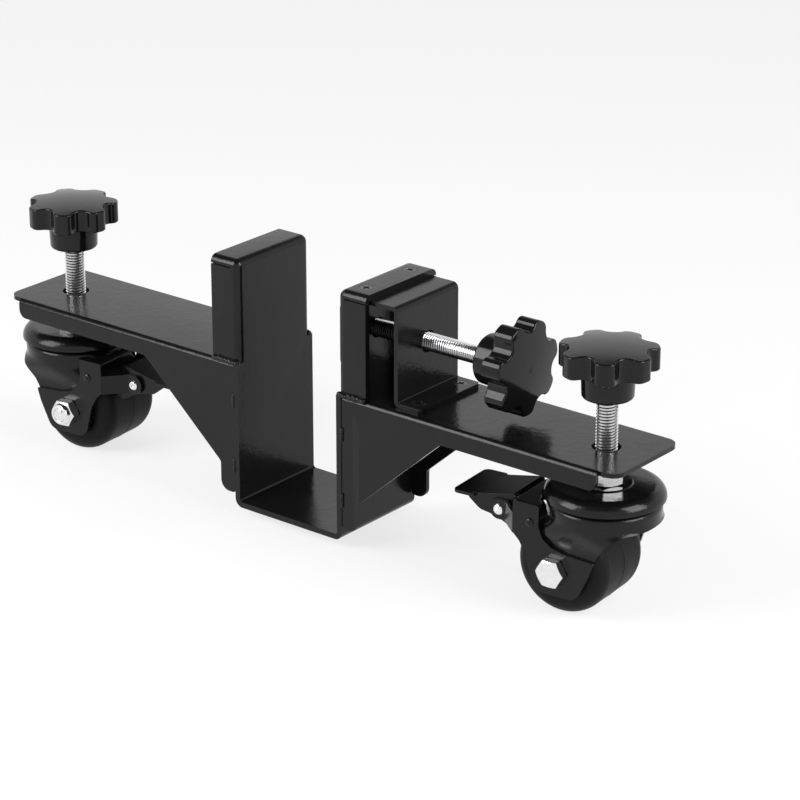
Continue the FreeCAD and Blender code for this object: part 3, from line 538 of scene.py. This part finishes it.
def thread_tree():
    """Right-handed thread up +Z from the origin: a grid rolled up, its rows along the helix."""
    if "thread" in trees:
        return trees["thread"]
    tree, given, output, ids = new_tree("Screw thread", {
        "Radius": "Float", "Depth": "Float", "Pitch": "Float", "Length": "Float", "Turns": "Int",
        "Sides": "Int", "Material": "Material"})

    def times(*values):
        return calc(tree, "MULTIPLY", *values)

    def add(*values):
        return calc(tree, "ADD", *values)

    def less(*values):
        return calc(tree, "SUBTRACT", *values)

    def least(*values):
        return calc(tree, "MINIMUM", *values)

    depth, length = given["Depth"], given["Length"]
    grid = add_node(tree, "GeometryNodeMeshGrid", {
        "Size X": 1.0, "Size Y": 1.0, "Vertices X": add(given["Sides"], 1.0),
        "Vertices Y": add(times(given["Turns"], THREAD_ROWS), 1.0)})[0]
    where = add_node(tree, "GeometryNodeInputPosition")[0]
    place = add_node(tree, "ShaderNodeSeparateXYZ", {0: where})
    around = add(place["X"], 0.5)
    turn = times(add(place["Y"], 0.5), given["Turns"])
    climb = times(less(add(turn, around), 1.5), given["Pitch"])
    height = least(calc(tree, "MAXIMUM", climb, 0.0), length)
    phase = calc(tree, "FRACT", less(turn, 0.5 / THREAD_ROWS))
    swing = calc(tree, "ABSOLUTE", calc(tree, "MULTIPLY_ADD", phase, 2.0, -1.0))
    slope = less(1.0, swing)
    flank = calc(tree, "DIVIDE", less(slope, THREAD_FLAT), THREAD_FLANK, clamp=True)
    root = less(given["Radius"], depth)
    crest = calc(tree, "MULTIPLY_ADD", flank, depth, root)
    radius = least(crest, least(add(root, height), add(root, less(length, height))))
    angle = times(around, math.tau)
    rolled_to = add_node(tree, "ShaderNodeCombineXYZ", {
        "X": times(radius, calc(tree, "COSINE", angle)),
        "Y": times(radius, calc(tree, "SINE", angle)), "Z": height})[0]
    # Depth into the groove, stored as the mask of the painted shade in the thread's grooves (and of
    # their roughness)
    level = calc(tree, "DIVIDE", less(radius, root), depth, clamp=True)
    marked = add_node(tree, "GeometryNodeStoreNamedAttribute", {
        "Geometry": grid, "Name": "groove", "Value": less(1.0, level)}, data_type="FLOAT")[0]
    rolled = add_node(tree, "GeometryNodeSetPosition", {
        "Geometry": marked, "Position": rolled_to})[0]
    disc = add_node(tree, "GeometryNodeMeshCircle", {
        "Vertices": given["Sides"], "Radius": root}, fill_type="NGON")[0]
    lift = add_node(tree, "ShaderNodeCombineXYZ", {"Z": length})[0]
    top = add_node(tree, "GeometryNodeTransform", {"Geometry": disc, "Translation": lift})[0]
    bottom = add_node(tree, "GeometryNodeFlipFaces", {"Mesh": disc})[0]
    whole = tree.nodes.new("GeometryNodeJoinGeometry")
    for shape in (rolled, top, bottom):
        tree.links.new(shape, whole.inputs[0])
    merged = add_node(tree, "GeometryNodeMergeByDistance", {
        "Geometry": whole.outputs[0], "Distance": MERGE})[0]
    smooth = add_node(tree, "GeometryNodeSetShadeSmooth", {
        "Geometry": merged, "Shade Smooth": True})[0]
    bend = add_node(tree, "GeometryNodeInputMeshEdgeAngle")["Unsigned Angle"]
    gentle = calc(tree, "LESS_THAN", bend, THREAD_CREASE)
    edged = add_node(tree, "GeometryNodeSetShadeSmooth", {
        "Geometry": smooth, "Shade Smooth": gentle}, domain="EDGE")[0]
    end_tree(tree, edged, given["Material"], output)
    trees["thread"] = tree, ids
    return trees["thread"]


def ring_of(work, radius, height, sides):
    angles = [math.tau * i / sides for i in range(sides)]
    return [work.verts.new((radius * math.cos(a), radius * math.sin(a), height)) for a in angles]


def turned_rings(work, profile, sides):
    """Closed turned shape on Z from radius and height pairs; returns its points."""
    rings = [ring_of(work, radius, height, sides) for radius, height in profile]
    for low, high in zip(rings, rings[1:]):
        for i in range(sides):
            j = (i + 1) % sides
            work.faces.new((low[i], low[j], high[j], high[i]))
    work.faces.new(list(reversed(rings[0])))
    work.faces.new(rings[-1])
    return [vert for ring in rings for vert in ring]


def threaded_rod(name, size, pitch, length, plain):
    """Thread on Z from the origin, with a plain turned end below it, as one mesh."""
    screws = bpy.context.scene.dolly_screws
    tree, ids = thread_tree()
    piece = run_tree(name, tree, ids, bpy.data.meshes.new(name), Length=length, Pitch=pitch,
                     Radius=size / 2 - screws.crest_drop, Depth=pitch * screws.depth,
                     Turns=math.ceil(length / pitch) + SPARE_TURNS, Sides=screws.sides,
                     Material=finish_for("thread"))
    work = bmesh.new()
    work.from_mesh(piece.data)
    turned_rings(work, plain, screws.sides)
    work.to_mesh(piece.data)
    work.free()
    return piece


class DOLLY_OT_lift_screws(Operator):
    """Lift screws with their threads and king pins"""
    bl_idname = "dolly.lift_screws"
    bl_label = "Lift screws"

    def execute(self, context):
        screws = context.scene.dolly_screws
        pin, reach = screws.pin_size / 2, screws.pin_length
        drop = reach + screws.pin_head
        for side in SIDES:
            low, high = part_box(side + "_lift_screw")
            head = (high.x - low.x) / 2
            plain = [(head - PIN_CHAMFER, -drop), (head, -drop + PIN_CHAMFER), (head, -reach),
                     (pin, -reach), (pin, 0.0)]
            piece = threaded_rod(side + "_lift_thread", screws.lift_size, screws.lift_pitch,
                                 high.z - low.z - drop, plain)
            middle = (low + high) / 2
            piece.data.transform(Matrix.Translation((middle.x, middle.y, low.z + drop)))
            keep(piece, side + "_spindle", "zinc", side + "_lift_screw")
        return {"FINISHED"}


class DOLLY_OT_clamp_screw(Operator):
    """Clamp screw with its thread and the journal in the pressure plate"""
    bl_idname = "dolly.clamp_screw"
    bl_label = "Clamp screw"

    def execute(self, context):
        screws = context.scene.dolly_screws
        low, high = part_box("clamp_screw")
        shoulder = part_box("pressure_plate")[1].x + JOURNAL_PLAY
        journal, tip = screws.clamp_journal / 2, low.x - shoulder
        plain = [(journal - JOURNAL_CHAMFER, tip), (journal, tip + JOURNAL_CHAMFER), (journal, 0.0)]
        piece = threaded_rod("clamp_thread", screws.clamp_size, screws.clamp_pitch,
                             high.x - shoulder, plain)
        middle = (low + high) / 2
        lay_down = Matrix.Rotation(math.pi / 2, 4, "Y")
        piece.data.transform(Matrix.Translation((shoulder, middle.y, middle.z)) @ lay_down)
        keep(piece, "clamp_spindle", "zinc", "clamp_screw")
        return {"FINISHED"}


# --- Countersunk screws, in head radii

SCREW_SIDES = 40
SCREW_RINGS = ((0.93, 0.0), (1.0, -0.06), (0.56, -0.52), (0.56, -1.9))  # radius and height
RECESS_MOUTH = (0.15, 0.56, 0.0)       # half width, reach and height of the cross
RECESS_FLOOR = (0.1, 0.4, -0.42)


def cross_screw_shape():
    """Countersunk screw with a cross recess, its head one unit in radius, its top at the origin."""
    work = bmesh.new()

    def cross(arm, reach, height):
        points = []
        for quarter in range(4):
            c, s = math.cos(quarter * math.pi / 2), math.sin(quarter * math.pi / 2)
            for x, y in ((arm, arm), (arm, reach), (-arm, reach)):
                points.append(work.verts.new((x * c - y * s, x * s + y * c, height)))
        return points

    def walls(upper, lower):
        count = len(upper)
        for i in range(count):
            j = (i + 1) % count
            work.faces.new((upper[i], lower[i], lower[j], upper[j]))

    rings = [ring_of(work, radius, height, SCREW_SIDES) for radius, height in SCREW_RINGS]
    mouth, floor = cross(*RECESS_MOUTH), cross(*RECESS_FLOOR)
    for upper, lower in zip(rings, rings[1:]):
        walls(upper, lower)
    walls(list(reversed(mouth)), list(reversed(floor)))
    work.faces.new(floor)
    work.faces.new(list(reversed(rings[-1])))
    border = []
    for loop in (rings[0], mouth):
        for i, vert in enumerate(loop):
            border.append(work.edges.get((vert, loop[(i + 1) % len(loop)])))
    bmesh.ops.triangle_fill(work, use_beauty=True, edges=border, normal=(0.0, 0.0, 1.0))
    bmesh.ops.recalc_face_normals(work, faces=work.faces)
    return mesh_from(work, "cross_screw")


def screw_tree():
    """One screw on each point, turned by chance."""
    tree, given, output, ids = new_tree("Screws on points", {
        "Points": "Geometry", "Shape": "Object", "Size": "Float", "Seed": "Int",
        "Material": "Material"})
    shape = add_node(tree, "GeometryNodeObjectInfo", {"Object": given["Shape"]})["Geometry"]
    spin = add_node(tree, "FunctionNodeRandomValue", {3: math.tau, "Seed": given["Seed"]},
                    data_type="FLOAT")[1]
    turn = add_node(tree, "ShaderNodeCombineXYZ", {"Z": spin})[0]
    scale = add_node(tree, "ShaderNodeCombineXYZ", {axis: given["Size"] for axis in "XYZ"})[0]
    screws = add_node(tree, "GeometryNodeInstanceOnPoints", {
        "Points": given["Points"], "Instance": shape, "Rotation": turn, "Scale": scale})[0]
    end_tree(tree, screws, given["Material"], output)
    return tree, ids


class DOLLY_OT_cross_screws(Operator):
    """Countersunk screws in the top flange and in the bracket's foot"""
    bl_idname = "dolly.cross_screws"
    bl_label = "Cross-recess screws"

    def execute(self, context):
        shape = new_object("cross_screw", cross_screw_shape())
        tree, ids = screw_tree()
        for node in ("bracket_top_screws", "bracket_foot_screws"):
            low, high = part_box(node)
            head = (high.x - low.x) / 2
            x = (low.x + high.x) / 2
            points = bpy.data.meshes.new(node)
            points.from_pydata([(x, y, high.z) for y in (low.y + head, high.y - head)], [], [])
            piece = run_tree(node + "_cross", tree, ids, points, Shape=shape, Size=head,
                             Seed=context.scene.dolly_screws.seed, Material=finish_for("screw"))
            keep(piece, "frame", "black_paint", node)
        bpy.data.objects.remove(shape)
        return {"FINISHED"}


# --- Welds

RIPPLE_STEP = 0.75                     # from one ripple to the next, in bead radii
RIPPLE_LEAST = (0.75, 0.8, 0.7)        # along, across and up, in bead radii
RIPPLE_MOST = (1.05, 1.15, 1.05)
BEAD_OUT = 0.0004                      # upright's bead outside the upright's side
BEAD_UP = 0.0003                       # upright's bead above the arm
BEAD_SHORT = 0.002                     # bead's end short of the corner
TACK_OUT = 0.0002                      # tacks outside the arm's side
TACK_OFF = 0.0003                      # tacks off the saddle's wall
TACK_APART = 0.046                     # lower tack to upper tack
TACK_HALF = 0.004                      # half of a tack's length
NUT_SINK = 0.0004                      # nut's weld below the face it is welded to
NUT_STEPS = 36                         # points round a nut


def weld_tree():
    """Overlapping ripples along the edges of a mesh."""
    tree, given, output, ids = new_tree("Weld bead", {
        "Path": "Geometry", "Size": "Float", "Seed": "Int", "Material": "Material"})
    curve = add_node(tree, "GeometryNodeMeshToCurve", {"Mesh": given["Path"]})[0]
    gap = calc(tree, "MULTIPLY", given["Size"], RIPPLE_STEP)
    points = add_node(tree, "GeometryNodeResampleCurve", {"Curve": curve, "Length": gap},
                      mode="LENGTH")[0]
    drop = add_node(tree, "GeometryNodeMeshIcoSphere", {
        "Radius": given["Size"], "Subdivisions": 3})[0]
    tangent = add_node(tree, "GeometryNodeInputTangent")[0]
    along = add_node(tree, "FunctionNodeAlignRotationToVector", {"Vector": tangent}, axis="X")[0]
    scale = add_node(tree, "FunctionNodeRandomValue", {
        0: RIPPLE_LEAST, 1: RIPPLE_MOST, "Seed": given["Seed"]}, data_type="FLOAT_VECTOR")[0]
    beads = add_node(tree, "GeometryNodeInstanceOnPoints", {
        "Points": points, "Instance": drop, "Rotation": along, "Scale": scale})[0]
    smooth = add_node(tree, "GeometryNodeSetShadeSmooth", {
        "Geometry": beads, "Shade Smooth": True})[0]
    end_tree(tree, smooth, given["Material"], output)
    return tree, ids


def path_mesh(name, paths):
    """Mesh of edges alone, one chain for each path."""
    verts, edges = [], []
    for path in paths:
        start = len(verts)
        verts += path
        edges += [(start + i, start + i + 1) for i in range(len(path) - 1)]
    mesh = bpy.data.meshes.new(name)
    mesh.from_pydata(verts, edges, [])
    return mesh


def ring_path(centre, radius, across, up):
    angles = [math.tau * i / NUT_STEPS for i in range(NUT_STEPS + 1)]
    return [centre + across * (radius * math.cos(a)) + up * (radius * math.sin(a)) for a in angles]


class DOLLY_OT_weld_beads(Operator):
    """Welds at the feet of the uprights, beside the saddle and round the nuts"""
    bl_idname = "dolly.weld_beads"
    bl_label = "Weld beads"

    def execute(self, context):
        trim = context.scene.dolly_trim
        tree, ids = weld_tree()
        east, north, up = Vector((1, 0, 0)), Vector((0, 1, 0)), Vector((0, 0, 1))
        wide, small = [], []
        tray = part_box("saddle")[1].x
        for side, sign in zip(SIDES, (-1.0, 1.0)):
            low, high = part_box(side + "_arm")
            wall = min(abs(low.x), abs(high.x))
            for face in (-1.0, 1.0):
                y = face * (high.y - trim.strip_inset + BEAD_OUT)
                wide.append([Vector((sign * (end - BEAD_SHORT), y, high.z + BEAD_UP))
                             for end in (wall, tray)])
                x, y = sign * (wall + TACK_OFF), face * (high.y + TACK_OUT)
                for level in (trim.tack_height, trim.tack_height + TACK_APART):
                    small.append([Vector((x, y, level - TACK_HALF)),
                                  Vector((x, y, level + TACK_HALF))])
            low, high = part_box(side + "_lift_nut")
            middle = (low + high) / 2
            middle.z = high.z - NUT_SINK
            small.append(ring_path(middle, (high.y - low.y) / 2, east, north))
        low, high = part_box("clamp_nut")
        middle = (low + high) / 2
        middle.x = high.x - NUT_SINK
        small.append(ring_path(middle, (high.y - low.y) / 2, north, up))
        for name, paths, size in (("upright_welds", wide, trim.bead),
                                  ("small_welds", small, trim.tack)):
            piece = run_tree(name, tree, ids, path_mesh(name, paths), Size=size,
                             Seed=trim.weld_seed, Material=finish_for("black_paint"))
            keep(piece, "frame", "black_paint")
        return {"FINISHED"}


# --- Caster trim

WEB_STEPS = 24           # points along the web's round cut
WEB_DROP = 0.0001        # web's top below the plates' top
DOME_STEPS = 8
DOME_SWEEP = math.radians(86.0)        # a dome's rim to its small flat top
DOME_SIDES = 32
RIVET_PROUD = 0.0008     # solid rivet's tip to the plate
SEAM_HALF = 0.0005       # half of the seam's width at the tread
SEAM_TOP = 0.00015       # half of the seam's width at its top
SEAM_SINK = 0.0008       # seam's foot below the tread
SEAM_SIDES = 120


def caster_axes(side):
    """A point on the swivel axis, and the level way from it to the brake pin."""
    stem = middle_of(side + "_lift_screw")
    along = middle_of(side + "_brake_pin") - stem
    return stem, Vector((along.x, along.y, 0.0))


class DOLLY_OT_brake_webs(Operator):
    """Web that joins the two brake plates over each wheel"""
    bl_idname = "dolly.brake_webs"
    bl_label = "Brake webs"

    def execute(self, context):
        trim = context.scene.dolly_trim
        start, end, bore, half = trim.web_start, trim.web_end, trim.web_bore, trim.web_half
        sweep = math.acos(start / bore)
        plan = [(end, -half), (end, half), (start, half)]
        for i in range(WEB_STEPS + 1):
            angle = sweep - 2 * sweep * i / WEB_STEPS
            plan.append((bore * math.cos(angle), bore * math.sin(angle)))
        plan.append((start, -half))
        for side in SIDES:
            stem, along = caster_axes(side)
            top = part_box(side + "_brake_plate_head")[1].z - WEB_DROP
            work = bmesh.new()
            upper = [work.verts.new((x, y, top)) for x, y in plan]
            lower = [work.verts.new((x, y, top - trim.web_sheet)) for x, y in plan]
            work.faces.new(upper)
            work.faces.new(list(reversed(lower)))
            for i in range(len(plan)):
                j = (i + 1) % len(plan)
                work.faces.new((upper[i], lower[i], lower[j], upper[j]))
            mesh = mesh_from(work, side + "_web")
            turn = Matrix.Rotation(math.atan2(along.y, along.x), 4, "Z")
            mesh.transform(Matrix.Translation((stem.x, stem.y, 0.0)) @ turn)
            helper = new_object(side + "_web", mesh)
            bevel_edges(helper, trim.edge)
            piece = plain_mesh(helper, side + "_brake_web")
            keep(piece, side + "_fork", "black_paint")
            rub(piece)
        return {"FINISHED"}


class DOLLY_OT_rivet_heads(Operator):
    """Domed head on each rivet of the brake plates"""
    bl_idname = "dolly.rivet_heads"
    bl_label = "Rivet heads"

    def execute(self, context):
        trim = context.scene.dolly_trim
        angles = [DOME_SWEEP * i / DOME_STEPS for i in range(DOME_STEPS + 1)]
        dome = [(trim.head_width / 2 * math.cos(a), trim.head_height * math.sin(a)) for a in angles]
        for side in SIDES:
            along = caster_axes(side)[1]
            across = Vector((-along.y, along.x, 0.0)).normalized()
            rivets = frame["nodes"][side + "_brake_rivets"].data
            points = [vertex.co for vertex in rivets.vertices]
            work = bmesh.new()
            for outward in (across, -across):
                seat = max(points, key=outward.dot) - outward * RIVET_PROUD
                turn = outward.to_track_quat("Z", "Y").to_matrix().to_4x4()
                bmesh.ops.transform(work, matrix=Matrix.Translation(seat) @ turn,
                                    verts=turned_rings(work, dome, DOME_SIDES))
            for face in work.faces:
                face.smooth = len(face.verts) == 4
            mesh = mesh_from(work, side + "_rivet_heads")
            mesh.materials.append(finish_for("black_paint"))
            keep(new_object(side + "_rivet_heads", mesh), side + "_fork", "black_paint")
        return {"FINISHED"}


class DOLLY_OT_mould_lines(Operator):
    """Thin seam round the middle of each wheel's tread"""
    bl_idname = "dolly.mould_lines"
    bl_label = "Mould lines"

    def execute(self, context):
        height = context.scene.dolly_trim.mould_line
        axes = {j["name"]: Vector(j["axis"]) for j in frame["record"]["behaviour"]["joints"]}
        for side in SIDES:
            low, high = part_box(side + "_wheel")
            radius = (high.z - low.z) / 2
            foot, crown = radius - SEAM_SINK, radius + height
            axis = axes[side + "_wheel_spin"].normalized()
            work = bmesh.new()
            turned_rings(work, [(foot, -SEAM_HALF), (radius, -SEAM_HALF), (crown, -SEAM_TOP),
                                (crown, SEAM_TOP), (radius, SEAM_HALF), (foot, SEAM_HALF)],
                         SEAM_SIDES)
            mesh = mesh_from(work, side + "_mould_line")
            turn = axis.to_track_quat("Z", "Y").to_matrix().to_4x4()
            mesh.transform(Matrix.Translation((low + high) / 2) @ turn)
            mesh.materials.append(finish_for("wheel_nylon"))
            keep(new_object(side + "_mould_line", mesh), side + "_wheel", "wheel_nylon")
        return {"FINISHED"}


# --- Stage

FLOOR_HALF = 4.0
WORLD_WHITE = math.sin(math.radians(27.0))   # the world is white up to this height angle
WORLD_DIM = math.sin(math.radians(45.0))     # and dim from this one up
LEFT_BOX = Vector((-0.811, -1.19, 0.9))      # soft boxes from the camera's target
RIGHT_BOX = Vector((1.424, 0.218, 0.9))
SENSOR = 36.0                                # millimetres
CAMERA_END = 30.0


def seen_by(tree):
    """One for what the camera sees, straight or by reflection or through glass, else zero."""
    path = tree.nodes.new("ShaderNodeLightPath").outputs
    value = path["Is Camera Ray"]
    for ray in ("Is Glossy Ray", "Is Transmission Ray"):
        value = calc(tree, "MAXIMUM", value, path[ray])
    return value


def stage_surface(name, colour, glow):
    """Diffuse ground that the camera sees partly as plain white."""
    material = bpy.data.materials.new(name)
    material.use_nodes = True
    tree = material.node_tree
    tree.nodes.clear()
    matt = add_node(tree, "ShaderNodeBsdfDiffuse", {"Color": (*colour, 1.0)})[0]
    white = add_node(tree, "ShaderNodeEmission")[0]
    share = calc(tree, "MULTIPLY", seen_by(tree), glow)
    mix = add_node(tree, "ShaderNodeMixShader", {0: share, 1: matt, 2: white})[0]
    add_node(tree, "ShaderNodeOutputMaterial", {"Surface": mix})
    return material


def studio_world(overhead):
    """White round the horizon, dim overhead."""
    world = bpy.data.worlds.new("studio")
    bpy.context.scene.world = world
    world.use_nodes = True
    tree = world.node_tree
    tree.nodes.clear()
    way = add_node(tree, "ShaderNodeTexCoord")["Generated"]
    height = add_node(tree, "ShaderNodeSeparateXYZ", {"Vector": way})["Z"]
    fade = add_node(tree, "ShaderNodeMapRange", {
        "Value": height, "From Min": WORLD_WHITE, "From Max": WORLD_DIM, "To Min": 1.0,
        "To Max": overhead}, interpolation_type="SMOOTHSTEP")["Result"]
    sky = add_node(tree, "ShaderNodeBackground", {
        "Color": (1.0, 1.0, 1.0, 1.0), "Strength": fade})[0]
    add_node(tree, "ShaderNodeOutputWorld", {"Surface": sky})


def soft_box(name, place, aim, size, power):
    """Soft box that lights the object and stays out of the camera's sight."""
    data = bpy.data.lights.new(name, "AREA")
    data.shape = "RECTANGLE"
    data.size, data.size_y = size
    data.energy = power
    lamp = new_object(name, data)
    lamp.location = place
    lamp.rotation_euler = (place - aim).to_track_quat("Z", "Y").to_euler()
    lamp.visible_camera = False


class DOLLY_OT_stage(Operator):
    """Floor, light and the camera at the photograph's angle"""
    bl_idname = "dolly.stage"
    bl_label = "Set the stage"

    def execute(self, context):
        scene = context.scene
        stage = scene.dolly_stage
        scene.view_settings.view_transform = "Standard"
        mesh = bpy.data.meshes.new("floor")
        corners = [(x * FLOOR_HALF, y * FLOOR_HALF, 0)
                   for x, y in ((-1, -1), (1, -1), (1, 1), (-1, 1))]
        mesh.from_pydata(corners, [], [(0, 1, 2, 3)])
        mesh.materials.append(stage_surface("pale_floor", tuple(stage.floor), stage.floor_white))
        new_object("floor", mesh)
        studio_world(stage.overhead)
        aim = Vector(stage.target)
        size = (stage.box_width, stage.box_height)
        soft_box("left_box", aim + LEFT_BOX, aim, size, stage.box_power)
        soft_box("right_box", aim + RIGHT_BOX, aim, size, stage.box_power)
        a, e = stage.azimuth, stage.elevation
        back = Vector((math.sin(a) * math.cos(e), -math.cos(a) * math.cos(e), math.sin(e)))
        data = bpy.data.cameras.new("camera")
        data.sensor_width = SENSOR
        data.lens = stage.lens
        data.clip_end = CAMERA_END
        camera = new_object("camera", data)
        camera.location = aim + back * stage.distance
        camera.rotation_euler = back.to_track_quat("Z", "Y").to_euler()
        scene.camera = camera
        return {"FINISHED"}


# --- Add-on

class DOLLY_PT_panel(Panel):
    """Sizes, colours and steps of the dolly"""
    bl_idname = "DOLLY_PT_panel"
    bl_label = "Door dolly"
    bl_space_type = "VIEW_3D"
    bl_region_type = "UI"
    bl_category = "Dolly"

    def draw(self, context):
        for name in SETTINGS:
            group = getattr(context.scene, name)
            box = self.layout.box()
            for entry in group.__annotations__:
                box.prop(group, entry)
        for step in STEPS:
            self.layout.operator(step.bl_idname)


SETTINGS = {"dolly_finish": DollyFinish, "dolly_screws": DollyScrews, "dolly_trim": DollyTrim,
            "dolly_stage": DollyStage}
STEPS = (DOLLY_OT_coat_solids, DOLLY_OT_soften_edges, DOLLY_OT_lift_screws, DOLLY_OT_clamp_screw,
         DOLLY_OT_cross_screws, DOLLY_OT_weld_beads, DOLLY_OT_brake_webs, DOLLY_OT_rivet_heads,
         DOLLY_OT_mould_lines, DOLLY_OT_stage)


def register():
    for cls in (*SETTINGS.values(), *STEPS, DOLLY_PT_panel):
        bpy.utils.register_class(cls)
    for name, cls in SETTINGS.items():
        setattr(bpy.types.Scene, name, PointerProperty(type=cls))


def unregister():
    for name in SETTINGS:
        delattr(bpy.types.Scene, name)
    for cls in (DOLLY_PT_panel, *reversed(STEPS), *SETTINGS.values()):
        bpy.utils.unregister_class(cls)


def main():
    register()
    bpy.ops.dolly.coat_solids()
    bpy.ops.dolly.soften_edges()
    bpy.ops.dolly.lift_screws()
    bpy.ops.dolly.clamp_screw()
    bpy.ops.dolly.cross_screws()
    bpy.ops.dolly.weld_beads()
    bpy.ops.dolly.brake_webs()
    bpy.ops.dolly.rivet_heads()
    bpy.ops.dolly.mould_lines()
    bpy.ops.dolly.stage()


if __name__ == "__main__":
    main()
